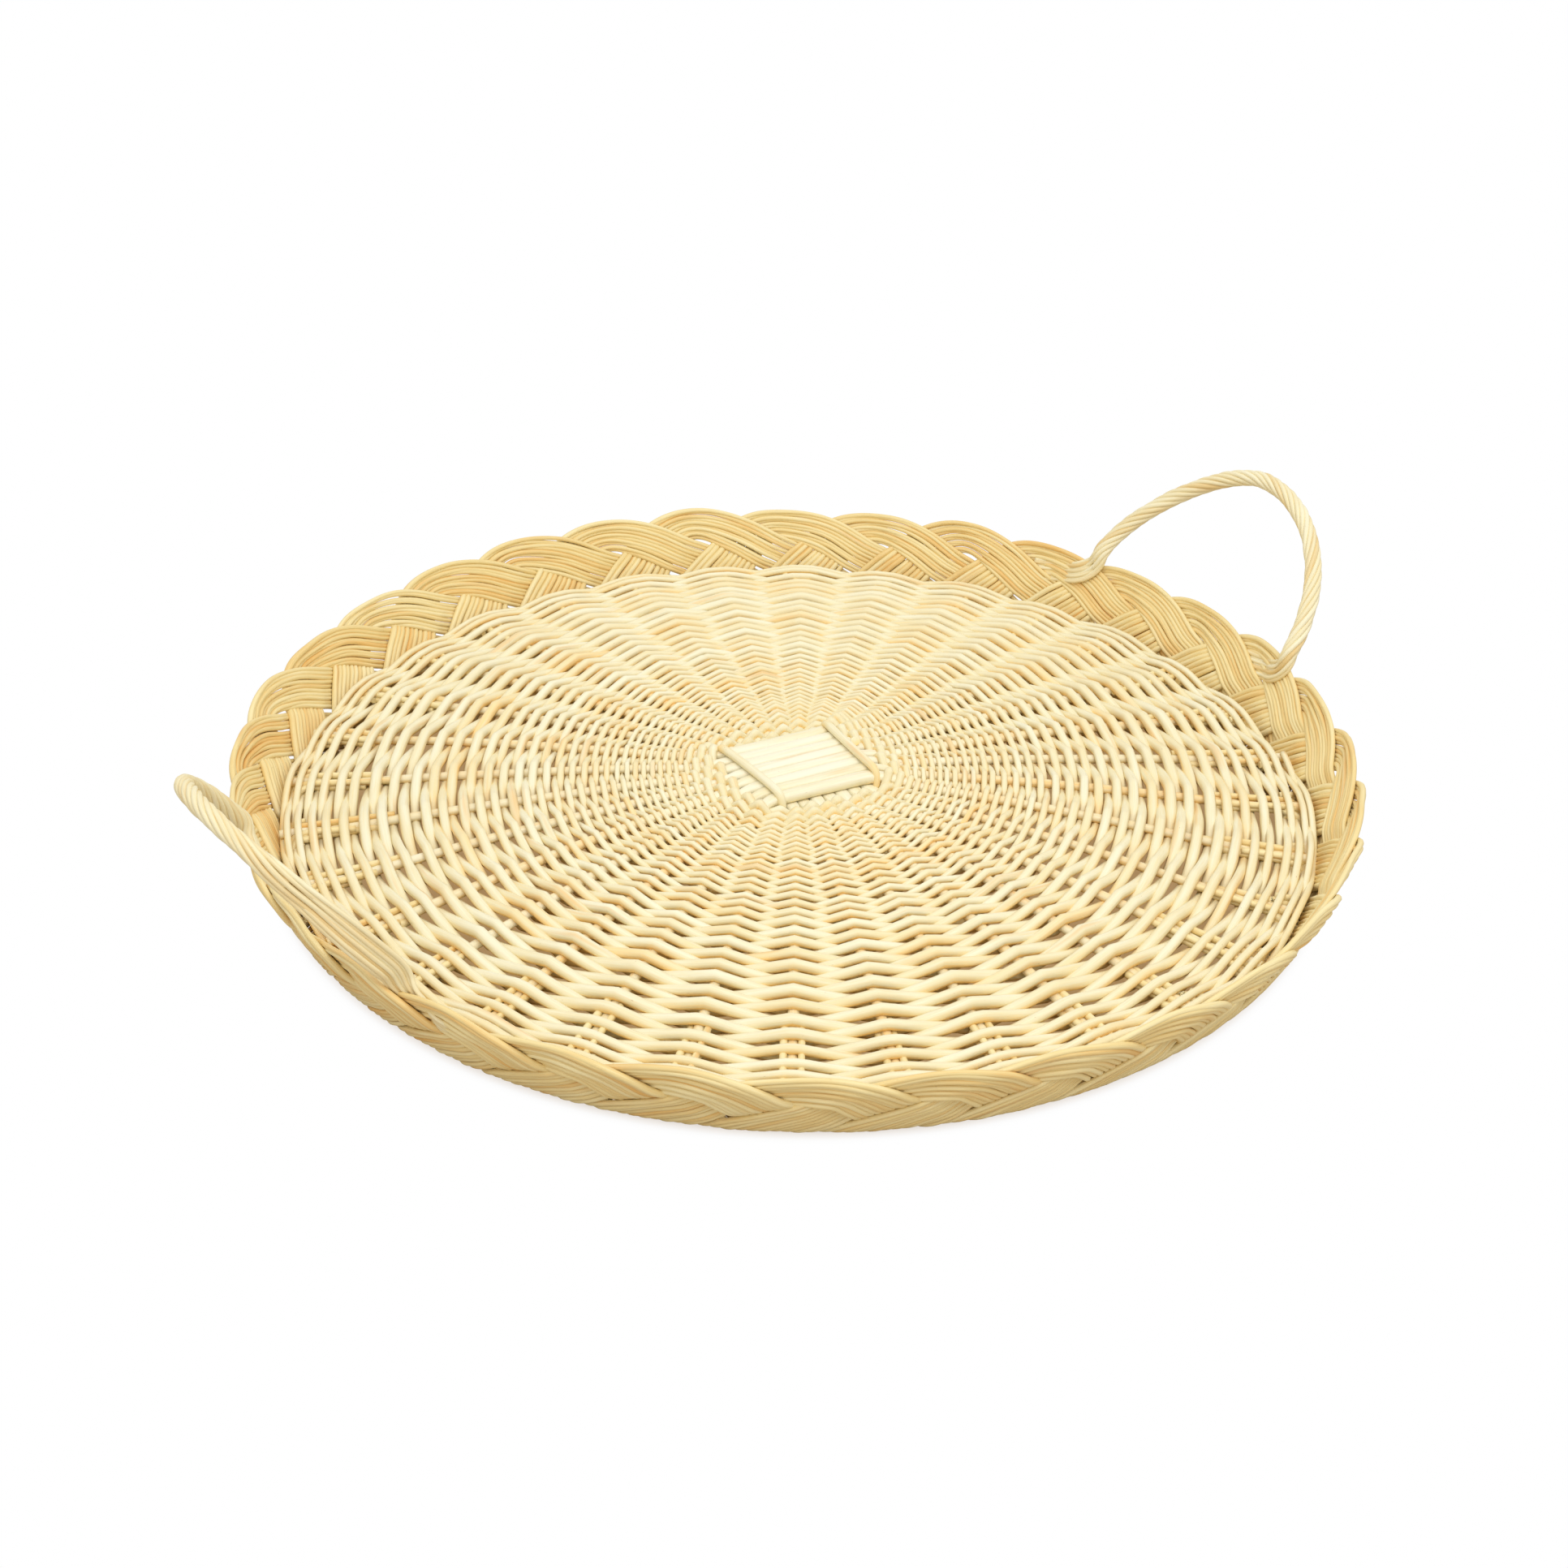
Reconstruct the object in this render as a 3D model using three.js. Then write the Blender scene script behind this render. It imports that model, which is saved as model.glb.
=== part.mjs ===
// Round shallow willow tray: a crowned woven floor on crossed sticks, a plaited border that leans out,
// and two twisted loop handles. Millimetres, +Z up, the handles on the X axis, the origin on the table
// under the middle of the floor.
import * as THREE from "three";

// Driving dimensions: the floor.
const sticksPerGroup = 8; // sticks side by side in each half of the cross; each stick makes two spokes
const crossTurn = -8; // degrees from the handle axis to the upper sticks
const stickWidth = 5.6; // across one stick where it lies in the cross
const spokeWidth = 4; // across one stick where it fans out as a spoke
const stickThickness = 4;
const bindingDiameter = 3.4; // rod that ties the cross, over the upper sticks and under the lower ones
const bindingCornerDiameter = 2.2; // the same rod where it is pinched between two spokes
const floorRadius = 203.5; // outer edge of the weave
const floorCrown = 14; // rise of the floor from its edge to its middle
const weaveMargin = 7; // from the binding's corners out to the first round of weave
const weaverRounds = 18; // rounds of weave, half from each of the two weavers
const weaverThickness = 1.8;
const weaverGap = 0.5; // between neighbouring rounds

// Driving dimensions: the plaited border.
const wallLean = 27; // degrees that the border leans outwards from upright
const bundleThickness = 1.9; // one layer of thin rods
const footLine = 7; // along the wall, from the table to the line where the plait's reach is measured
const bundleReach = 2.2; // spokes from a bundle's rising leg to its falling leg, at the foot line
const legsMeetReach = 0.73; // spokes from a bundle's rising leg to where its two legs would meet
const legsMeetHeight = 30; // along the wall, from the foot line to where the legs would meet
const crestEase = 2.8; // how far the crest's curve is aimed below the place where the legs would meet
const tailLift = 0.8; // along the wall, from the table to the tail's lowest corner
const crestWidth = 12.4; // across a bundle at its crest, where the rods bunch
const plaitGap = 3.5; // between the descending legs of two neighbouring bundles
const footDepth = 9; // how far a bundle's foot reaches in under the floor's edge

// Driving dimensions: the handles.
const handleSpan = 120; // between the two ends of a loop
const handleHeight = 63; // of a loop, measured along its own plane
const handleLean = 39; // degrees that a loop leans outwards from upright
const loopBow = 1.12; // 1 makes a loop half an ellipse, more makes it a little pointed
const ropeDiameter = 7.2;
const tuckLength = 26; // along the border, of the rope end that is tucked into the plait
const tuckDrop = 12; // down the wall, of the same end
const tuckWidth = 12; // across the rope end, where its rods lie flat
const tuckThickness = 2.2;

// Driving dimensions: clearances.
const clearance = 0.3; // between pieces that touch
const plaitClearance = 0.5; // between the two layers of the plait

// Steps and sides of the faceted shapes.
const spokeSteps = 4;
const crestSteps = 4;
const tuckSteps = 3;
const loopSteps = 22;
const ropeSides = 8;
const bindingSides = 6;

// Values worked out from the driving dimensions.
const spokes = 4 * sticksPerGroup;
const spokeStep = (2 * Math.PI) / spokes;
const lean = THREE.MathUtils.degToRad(wallLean);
const stickPitch = stickWidth + clearance;
const crossHalf = (sticksPerGroup * stickPitch) / 2;
const crossLayer = (stickThickness + clearance) / 2;
const bindingLine = crossHalf + clearance + bindingDiameter / 2;
const cornerRoom = (spokeWidth + bindingCornerDiameter) / 2 + clearance;
const bindingCorner = Math.max(bindingLine * Math.SQRT2, cornerRoom / Math.sin(spokeStep / 2));
const weaveInnerRadius = bindingCorner + weaveMargin;
const weaverPitch = (floorRadius - weaveInnerRadius + weaverGap) / (weaverRounds + 1);
const weaverWidth = weaverPitch - weaverGap;

// Height of the middle of a weaver above the middle of the spoke that it crosses: its straight runs
// clear both the edge of the spoke's flat top and the spoke's side.
function weaverLift(radius) {
  const halfSpacing = (radius * spokeStep) / 2;
  const reach = clearance + weaverThickness / 2;
  const overTop = (stickThickness / 2 + reach) / (1 - spokeWidth / 4 / halfSpacing);
  const overSide = reach / (1 - spokeWidth / 2 / halfSpacing);
  return Math.max(overTop, overSide);
}

// Height of the middle of the weave. Its edge lies on the feet of the border.
const floorEdgeHeight = bundleThickness + clearance + weaverLift(floorRadius) + weaverThickness / 2;

function floorHeight(radius) {
  return floorEdgeHeight + floorCrown * (1 - (radius / floorRadius) ** 2);
}

// The angle of a spoke from the handle axis.
function spokeAngle(index) {
  return THREE.MathUtils.degToRad(crossTurn) + (index + 0.5) * spokeStep;
}

// The border's wall is a cone. A place on it is given by how far round it lies and by its height along
// the wall, and the two layers of the plait lie on either side of it.
const layerThickness = bundleThickness / Math.cos(lean);
const layerOffset = (layerThickness + plaitClearance / Math.cos(lean)) / 2;
const innerFace = -(layerOffset + layerThickness / 2);
const wallFootRadius = floorRadius + clearance - innerFace;

function wallRadius(along) {
  return wallFootRadius + along * Math.sin(lean);
}

function wallPoint(angle, along, offset) {
  const radius = wallRadius(along) + offset;
  return new THREE.Vector3(radius * Math.cos(angle), radius * Math.sin(angle), along * Math.cos(lean));
}

// The plait's lattice, in spoke steps round the border and millimetres along the wall: every bundle has
// a rising leg and a descending leg, and each family of legs is a set of equal parallel strips. A falling
// leg passes inside the rising leg of the first bundle that it meets and outside that of the second.
const firstMet = 1;
const secondMet = 2;
const risePerStep = legsMeetHeight / legsMeetReach;
const fallPerStep = legsMeetHeight / (bundleReach - legsMeetReach);
const crossingRise = legsMeetHeight / bundleReach;
const stepLength = spokeStep * wallRadius(footLine + legsMeetHeight / 2);
const riseSine = Math.sin(Math.atan2(risePerStep, stepLength));
const fallSine = Math.sin(Math.atan2(fallPerStep, stepLength));
const bundleWidth = stepLength * fallSine - plaitGap;
const risingHalf = bundleWidth / (2 * stepLength * riseSine);
const fallingHalf = bundleWidth / (2 * stepLength * fallSine);

// A place in the lattice, from its position across the rising strips and across the falling ones.
function latticePoint(rising, falling) {
  const rise = crossingRise * (bundleReach + falling - rising);
  return { round: rising + rise / risePerStep, along: footLine + rise };
}

// Skins a row of equal rings of points with a closed surface. A ring runs anticlockwise for someone who
// looks back along the row.
function skin(rings, closed = false) {
  const count = rings[0].length;
  const positions = rings.flat().flatMap((point) => point.toArray());
  const faces = [];
  const spans = closed ? rings.length : rings.length - 1;
  for (let i = 0; i < spans; i++) {
    const here = i * count;
    const there = ((i + 1) % rings.length) * count;
    for (let j = 0; j < count; j++) {
      const next = (j + 1) % count;
      faces.push(here + j, here + next, there + next);
      faces.push(here + j, there + next, there + j);
    }
  }
  if (!closed) {
    const last = (rings.length - 1) * count;
    for (let j = 1; j < count - 1; j++) {
      faces.push(0, j + 1, j);
      faces.push(last, last + j, last + j + 1);
    }
  }
  const geometry = new THREE.BufferGeometry();
  geometry.setAttribute("position", new THREE.Float32BufferAttribute(positions, 3));
  geometry.setIndex(faces);
  geometry.computeVertexNormals();
  return geometry;
}

// A ring of a flat section across a path: the section's first direction is the side, its second is as
// near to the reference as the path's direction lets it be.
function sectionRing(centre, direction, reference, section) {
  const tangent = direction.clone().normalize();
  const up = reference.clone().addScaledVector(tangent, -reference.dot(tangent)).normalize();
  const side = up.clone().cross(tangent);
  return section.map(([across, above]) => centre.clone().addScaledVector(side, across).addScaledVector(up, above));
}

// The directions of a path at its points, half way between the runs that meet there.
function pathDirections(points, closed = false) {
  return points.map((point, i) => {
    const before = points[closed ? (i + points.length - 1) % points.length : Math.max(i - 1, 0)];
    const after = points[closed ? (i + 1) % points.length : Math.min(i + 1, points.length - 1)];
    const run = (from, to) => to.clone().sub(from).normalize();
    const direction = new THREE.Vector3();
    if (before !== point) direction.add(run(before, point));
    if (after !== point) direction.add(run(point, after));
    return direction;
  });
}

function roundSection(diameter, sides) {
  return Array.from({ length: sides }, (_, i) => {
    const angle = (2 * Math.PI * i) / sides;
    return [(Math.cos(angle) * diameter) / 2, (Math.sin(angle) * diameter) / 2];
  });
}

// A stick's section, flat above and below.
function stickSection(width) {
  const half = stickThickness / 2;
  return [
    [width / 2, 0],
    [width / 4, half],
    [-width / 4, half],
    [-width / 2, 0],
    [-width / 4, -half],
    [width / 4, -half],
  ];
}

const upright = new THREE.Vector3(0, 0, 1);

// Spokes end against the inside of the border.
const spokeLowest = floorHeight(floorRadius - 2 * innerFace) - stickThickness / 2;
const spokeEnd = wallRadius(spokeLowest / Math.cos(lean)) + innerFace - clearance;

// One stick of the cross, along X: straight across the middle, then fanned out as a spoke at each end.
function stickGeometry(index, side) {
  const place = index - (sticksPerGroup - 1) / 2;
  const offset = place * stickPitch;
  const angle = place * spokeStep;
  const bend = place === 0 ? stickPitch / spokeStep : offset / Math.tan(angle);
  const crossHeight = floorHeight(0) + side * crossLayer;
  const half = [
    { x: crossHalf, y: offset, z: crossHeight, width: stickWidth },
    { x: bend, y: offset, z: crossHeight, width: spokeWidth },
  ];
  for (let i = 0; i <= spokeSteps; i++) {
    const radius = weaveInnerRadius + ((spokeEnd - weaveInnerRadius) * i) / spokeSteps;
    half.push({
      x: radius * Math.cos(angle),
      y: radius * Math.sin(angle),
      z: floorHeight(radius),
      width: spokeWidth,
    });
  }
  const mirrored = half.map((stop) => ({ ...stop, x: -stop.x })).reverse();
  const stops = [...mirrored, ...half];
  const points = stops.map((stop) => new THREE.Vector3(stop.x, stop.y, stop.z));
  const directions = pathDirections(points);
  return skin(
    points.map((point, i) => sectionRing(point, directions[i], upright, stickSection(stops[i].width))),
  );
}

// The rod that ties the cross: over the upper sticks on two sides and under the lower ones on the other
// two, passing between the outermost spokes at each corner.
function bindingGeometry() {
  const middle = floorHeight(0);
  const stickFace = crossLayer + stickThickness / 2;
  const overSticks = stickFace + clearance + bindingDiameter / 2;
  const sideEnd = crossHalf - stickPitch / 2;
  const stops = [];
  for (let quarter = 0; quarter < 4; quarter++) {
    const turn = (quarter * Math.PI) / 2;
    const over = quarter % 2 === 0 ? 1 : -1;
    const add = (x, y, z, diameter) => {
      const point = new THREE.Vector3(x, y, middle + z).applyAxisAngle(upright, turn);
      stops.push({ point, diameter });
    };
    const corner = bindingCorner / Math.SQRT2;
    add(corner, -corner, over * stickFace, bindingCornerDiameter);
    add(bindingLine, -sideEnd, over * overSticks, bindingDiameter);
    add(bindingLine, sideEnd, over * overSticks, bindingDiameter);
    add(corner, corner, over * stickFace, bindingCornerDiameter);
  }
  const points = stops.map((stop) => stop.point);
  const directions = pathDirections(points, true);
  const rings = points.map((point, i) => {
    const outwards = point.clone().setZ(0);
    return sectionRing(point, directions[i], outwards, roundSection(stops[i].diameter, bindingSides));
  });
  return skin(rings, true);
}

// One of the two weavers. They chase each other round the floor in one spiral each, and where one goes
// over a spoke the other goes under it.
function weaverGeometry(which) {
  const rings = [];
  const steps = (weaverRounds / 2) * spokes;
  for (let i = 0; i <= steps; i++) {
    const spoke = i + (which * spokes) / 2;
    const angle = spokeAngle(spoke);
    const radius = weaveInnerRadius + weaverWidth / 2 + (2 * weaverPitch * i) / spokes;
    const lift = weaverLift(radius) * ((spoke + which) % 2 === 0 ? 1 : -1);
    const corner = (outer, upper) => {
      const reach = radius + (outer * weaverWidth) / 2;
      const height = floorHeight(reach) + lift + (upper * weaverThickness) / 2;
      return new THREE.Vector3(reach * Math.cos(angle), reach * Math.sin(angle), height);
    };
    rings.push([corner(1, 1), corner(1, -1), corner(-1, -1), corner(-1, 1)]);
  }
  return skin(rings);
}

// One flat strip on the wall, from rows that each give the two edges of the strip and its layer.
function wallRing(toAngle, row) {
  const edge = (place, offset) => wallPoint(toAngle(place.round), place.along, offset);
  const inside = row.offset - row.thickness / 2;
  const outside = row.offset + row.thickness / 2;
  return [edge(row.left, inside), edge(row.right, inside), edge(row.right, outside), edge(row.left, outside)];
}

// The rows of a bundle's crest: its middle line is a curve from the rising leg to the falling one, and
// it goes from the outer layer of the plait to the inner one.
function crestRows() {
  const start = fallingHalf - firstMet;
  const end = firstMet - risingHalf;
  const flat = (place) => new THREE.Vector2(place.round * stepLength, place.along);
  const middle = new THREE.QuadraticBezierCurve(
    flat(latticePoint(0, start)),
    flat(latticePoint(0, 0)).sub(new THREE.Vector2(0, crestEase)),
    flat(latticePoint(end, 0)),
  );
  const firstEdge = flat(latticePoint(-risingHalf, start)).sub(middle.v0);
  const lastEdge = flat(latticePoint(end, fallingHalf)).sub(middle.v2);
  const rows = [];
  for (let i = 0; i <= crestSteps; i++) {
    const share = i / crestSteps;
    const nearEdge = share < 0.5 ? firstEdge : lastEdge;
    const bunch = (2 * share - 1) ** 2;
    const half = THREE.MathUtils.lerp(crestWidth / 2, nearEdge.length(), bunch);
    const angle = THREE.MathUtils.lerp(firstEdge.angle(), lastEdge.angle(), share);
    const centre = middle.getPoint(share);
    const place = (side) => ({
      round: (centre.x + side * half * Math.cos(angle)) / stepLength,
      along: centre.y + side * half * Math.sin(angle),
    });
    rows.push({ left: place(1), right: place(-1), offset: layerOffset * (1 - 2 * share), thickness: layerThickness });
  }
  return rows;
}

const crest = crestRows();
const borderTop = Math.max(...crest.map((row) => row.left.along));

// One bundle of thin rods: a foot under the floor's edge, a rising leg that passes inside the tail of
// one bundle and outside the falling leg of the next, the crest, and a falling leg that does the same.
function bundleGeometry(index) {
  const toAngle = (round) => spokeAngle(index) - round * spokeStep;
  const rising = (falling, offset) => ({
    left: latticePoint(-risingHalf, falling),
    right: latticePoint(risingHalf, falling),
    offset,
    thickness: layerThickness,
  });
  const falling = (risingLeft, risingRight, offset) => ({
    left: latticePoint(risingLeft, fallingHalf),
    right: latticePoint(risingRight, -fallingHalf),
    offset,
    thickness: layerThickness,
  });
  const tailEnd = bundleReach - fallingHalf + (footLine - tailLift) / crossingRise;
  const rows = [
    rising(fallingHalf - secondMet, -layerOffset),
    rising(-firstMet - fallingHalf, layerOffset),
    ...crest,
    falling(firstMet + risingHalf, firstMet + risingHalf, -layerOffset),
    falling(secondMet - risingHalf, secondMet - risingHalf, layerOffset),
    falling(secondMet + risingHalf, tailEnd, layerOffset),
  ];
  const footPoint = (side, height, offset) => {
    const along = height / Math.cos(lean);
    return wallPoint(toAngle(side * risingHalf + (along - footLine) / risePerStep), along, offset);
  };
  const heel = [
    footPoint(-1, bundleThickness, innerFace),
    footPoint(1, bundleThickness, innerFace),
    footPoint(1, 0, innerFace + layerThickness),
    footPoint(-1, 0, innerFace + layerThickness),
  ];
  const toe = heel.map((point) => {
    const flat = point.clone().setZ(0).setLength(floorRadius - footDepth);
    return flat.setZ(point.z);
  });
  return skin([toe, heel, ...rows.map((row) => wallRing(toAngle, row))]);
}

// The rope of a handle leaves its tucked ends just above the border's top, and turns there.
const ropeRadius = ropeDiameter / 2;
const tuckOffset = innerFace - clearance - tuckThickness / 2;
const pivotHeight = borderTop * Math.cos(lean) + clearance + ropeRadius;
const pivotRadius = wallRadius(borderTop) + tuckOffset;
const pivotAngle = Math.asin(handleSpan / 2 / pivotRadius);
const pivotDistance = pivotRadius * Math.cos(pivotAngle);

// A handle's loop: a bow in a leaning plane, with rounded ends on the pivots.
function loopGeometry() {
  const outwards = THREE.MathUtils.degToRad(handleLean);
  const up = new THREE.Vector3(Math.sin(outwards), 0, Math.cos(outwards));
  const across = new THREE.Vector3(0, 1, 0);
  const normal = across.clone().cross(up);
  const base = new THREE.Vector3(pivotDistance, 0, pivotHeight);
  const points = [];
  for (let i = 0; i <= loopSteps; i++) {
    const angle = (Math.PI * i) / loopSteps;
    const aside = Math.sign(Math.cos(angle)) * Math.abs(Math.cos(angle)) ** loopBow;
    const above = Math.sin(angle) ** loopBow;
    const point = base.clone().addScaledVector(across, (aside * handleSpan) / 2);
    points.push(point.addScaledVector(up, above * handleHeight));
  }
  const directions = pathDirections(points);
  directions[0].copy(up);
  directions[loopSteps].copy(up).negate();
  const rings = points.map((point, i) =>
    sectionRing(point, directions[i], normal, roundSection(ropeDiameter, ropeSides)),
  );
  const endRing = (point, direction, degrees) => {
    const angle = THREE.MathUtils.degToRad(degrees);
    const centre = point.clone().addScaledVector(up, -ropeRadius * Math.sin(angle));
    return sectionRing(centre, direction, normal, roundSection(ropeDiameter * Math.cos(angle), ropeSides));
  };
  const roundings = [30, 60];
  for (const degrees of roundings) {
    rings.unshift(endRing(points[0], directions[0], degrees));
    rings.push(endRing(points[loopSteps], directions[loopSteps], degrees));
  }
  return skin(rings);
}

// A handle's tucked end: the rope's rods lie flat, run down inside the border and turn along it.
function tuckGeometry(side) {
  const toAngle = (round) => side * pivotAngle + round / pivotRadius;
  const start = new THREE.Vector2(0, borderTop);
  const turn = new THREE.Vector2(0, borderTop - tuckDrop);
  const end = new THREE.Vector2(tuckLength, borderTop - tuckDrop);
  const middle = new THREE.QuadraticBezierCurve(start, turn, end);
  const rings = [];
  for (let i = 0; i <= tuckSteps; i++) {
    const centre = middle.getPoint(i / tuckSteps);
    const direction = middle.getTangent(i / tuckSteps);
    const place = (edge) => ({
      round: centre.x - (edge * direction.y * tuckWidth) / 2,
      along: centre.y + (edge * direction.x * tuckWidth) / 2,
    });
    rings.push(
      wallRing(toAngle, { left: place(-1), right: place(1), offset: tuckOffset, thickness: tuckThickness }),
    );
  }
  return skin(rings);
}

// Peeled willow: the cross is palest, the weave is straw, the border and the handles are a little deeper.
function willow(colour) {
  return new THREE.MeshStandardMaterial({ color: colour, roughness: 0.6, metalness: 0 });
}

const tray = new THREE.Group();

function addPiece(parent, name, geometry, colour) {
  const mesh = new THREE.Mesh(geometry, willow(colour));
  mesh.name = name;
  parent.add(mesh);
}

const stickColour = 0xf3e6bd;
const weaveColour = 0xecd9a4;
const borderColour = 0xe3c98a;
const handleColour = 0xe8d39c;

// The floor: the two halves of the cross, its binding and the two weavers.
const cross = new THREE.Group();
const lowerHalf = new THREE.Group();
cross.rotation.z = THREE.MathUtils.degToRad(crossTurn);
lowerHalf.rotation.z = Math.PI / 2;
cross.add(lowerHalf);
tray.add(cross);
for (let i = 0; i < sticksPerGroup; i++) {
  addPiece(cross, `upper_stick_${i + 1}`, stickGeometry(i, 1), stickColour);
  addPiece(lowerHalf, `lower_stick_${i + 1}`, stickGeometry(i, -1), stickColour);
}
addPiece(cross, "cross_binding", bindingGeometry(), weaveColour);
addPiece(tray, "weaver_a", weaverGeometry(0), weaveColour);
addPiece(tray, "weaver_b", weaverGeometry(1), weaveColour);

// The border: one bundle at each spoke.
for (let i = 0; i < spokes; i++) {
  addPiece(tray, `border_bundle_${String(i + 1).padStart(2, "0")}`, bundleGeometry(i), borderColour);
}

// The handles, on opposite sides.
for (const [name, turn] of [
  ["right", 0],
  ["left", Math.PI],
]) {
  const handle = new THREE.Group();
  handle.rotation.z = turn;
  tray.add(handle);
  addPiece(handle, `${name}_handle_loop`, loopGeometry(), handleColour);
  addPiece(handle, `${name}_handle_tuck_a`, tuckGeometry(1), handleColour);
  addPiece(handle, `${name}_handle_tuck_b`, tuckGeometry(-1), handleColour);
}

export default tray;
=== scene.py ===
"""Round willow tray with two loop handles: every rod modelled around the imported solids."""
import math

import bpy
import numpy as np
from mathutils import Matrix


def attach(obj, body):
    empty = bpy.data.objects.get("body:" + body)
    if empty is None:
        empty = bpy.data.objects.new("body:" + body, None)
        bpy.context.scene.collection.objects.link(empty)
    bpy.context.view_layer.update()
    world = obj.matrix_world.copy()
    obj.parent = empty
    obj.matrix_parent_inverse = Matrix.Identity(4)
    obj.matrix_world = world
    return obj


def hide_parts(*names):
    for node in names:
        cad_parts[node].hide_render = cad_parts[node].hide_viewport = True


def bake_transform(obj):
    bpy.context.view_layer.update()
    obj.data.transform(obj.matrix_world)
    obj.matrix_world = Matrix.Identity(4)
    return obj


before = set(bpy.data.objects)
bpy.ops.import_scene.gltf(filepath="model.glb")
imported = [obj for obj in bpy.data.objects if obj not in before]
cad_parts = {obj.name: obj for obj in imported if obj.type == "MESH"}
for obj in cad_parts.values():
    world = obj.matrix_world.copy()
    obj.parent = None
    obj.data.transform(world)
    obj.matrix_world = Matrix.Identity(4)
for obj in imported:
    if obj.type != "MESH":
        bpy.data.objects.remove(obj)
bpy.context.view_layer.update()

# Sizes are in millimetres, in the solids' frame. Tones go from 0, pale, to 1, deep.
# A range such as EDGE_ZONE says where a smooth change starts and where it ends.
MM = 0.001
UP = np.array([0.0, 0.0, 1.0])
POINT_SPACING = 1.0
ROD_SIDES = 8

# The floor: its crown, the cross of sticks in its middle and the spokes.
SPOKES = 32
STEP = 2 * math.pi / SPOKES
STICKS = 8
CROSS_TURN = math.radians(-8)
CROSS_HALF = 22.2
CROSS_LAYER = 2.15
CROSS_LEAVE = (25.0, 41.0)
SPOKE_WIDTH = 4.2
SPOKE_TIP = 4.0
SPOKE_FLATNESS = 0.84
SPOKE_END = 205.5
FLOOR_RADIUS = 203.5
FLOOR_EDGE_HEIGHT = 6.469
FLOOR_CROWN = 14.0
EDGE_RISE = 2.8
EDGE_ZONE = (182.0, 205.0)

# The border's wall, which leans outwards. Its plait has two layers.
LEAN = math.radians(27)
WALL_FOOT = 206.213
LAYER = 1.4
BORDER_TOP = 37.14


def unit(vectors):
    return vectors / np.linalg.norm(vectors, axis=-1, keepdims=True)


def smoothstep(value, low, high):
    share = np.clip((np.asarray(value, float) - low) / (high - low), 0, 1)
    return share * share * (3 - 2 * share)


def resample(path, spacing):
    """The same line with evenly spaced points."""
    lengths = np.linalg.norm(np.diff(path, axis=0), axis=1)
    along = np.concatenate([[0], np.cumsum(lengths)])
    count = max(4, int(round(along[-1] / spacing)) + 1)
    stops = np.linspace(0, along[-1], count)
    return np.stack([np.interp(stops, along, column) for column in path.T], axis=1)


def soften(path, spacing, reach):
    """Rounds the corners of an evenly spaced line; its two ends stay where they are."""
    half = min(max(1, int(round(3 * reach / spacing))), len(path) - 2)
    offsets = np.arange(-half, half + 1) * spacing
    kernel = np.exp(-0.5 * (offsets / reach) ** 2)
    kernel /= kernel.sum()
    before = 2 * path[0] - path[half:0:-1]
    after = 2 * path[-1] - path[-2:-half - 2:-1]
    longer = np.concatenate([before, path, after])
    return np.stack([np.convolve(column, kernel, "valid") for column in longer.T], axis=1)


def wander(count, spacing, reach, rng):
    """A smooth random line around zero with a spread of one."""
    half = int(3 * reach / spacing)
    offsets = np.arange(-half, half + 1) * spacing
    kernel = np.exp(-0.5 * (offsets / reach) ** 2)
    kernel /= np.sqrt((kernel ** 2).sum())
    return np.convolve(rng.normal(size=count + 2 * half), kernel, "valid")


def directions(path, closed=False):
    if closed:
        return unit(np.roll(path, -1, 0) - np.roll(path, 1, 0))
    return unit(np.gradient(path, axis=0))


def turned(path, angle):
    """The same points, turned about the tray's axis."""
    cosine, sine = math.cos(angle), math.sin(angle)
    return path @ np.array([[cosine, sine, 0], [-sine, cosine, 0], [0, 0, 1]])


def curve(start, pull, end, share):
    """Points on an arc from start to end, drawn towards pull."""
    return start * (1 - share) ** 2 + pull * 2 * share * (1 - share) + end * share ** 2


def ring_of(sides):
    turn = 2 * np.pi * np.arange(sides) / sides
    return np.stack([np.cos(turn), np.sin(turn)], axis=1)


# Painted shade: rods are drawn deeper towards their lower side, where the light from above does not reach.
UNDERSIDE_SHADE_ZONE = (-0.6, 0.8)


def underside_shade(sides):
    """How much painted shade each corner of a rod's section gets: none near its top, most at its bottom."""
    return smoothstep(-ring_of(sides)[:, 1], *UNDERSIDE_SHADE_ZONE)


# The rods of one piece. Each point keeps its place in the rod's grain and its tone for the material; the
# tone holds the rod's own tone and painted shade.
GRAIN_SHIFT = 300


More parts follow.
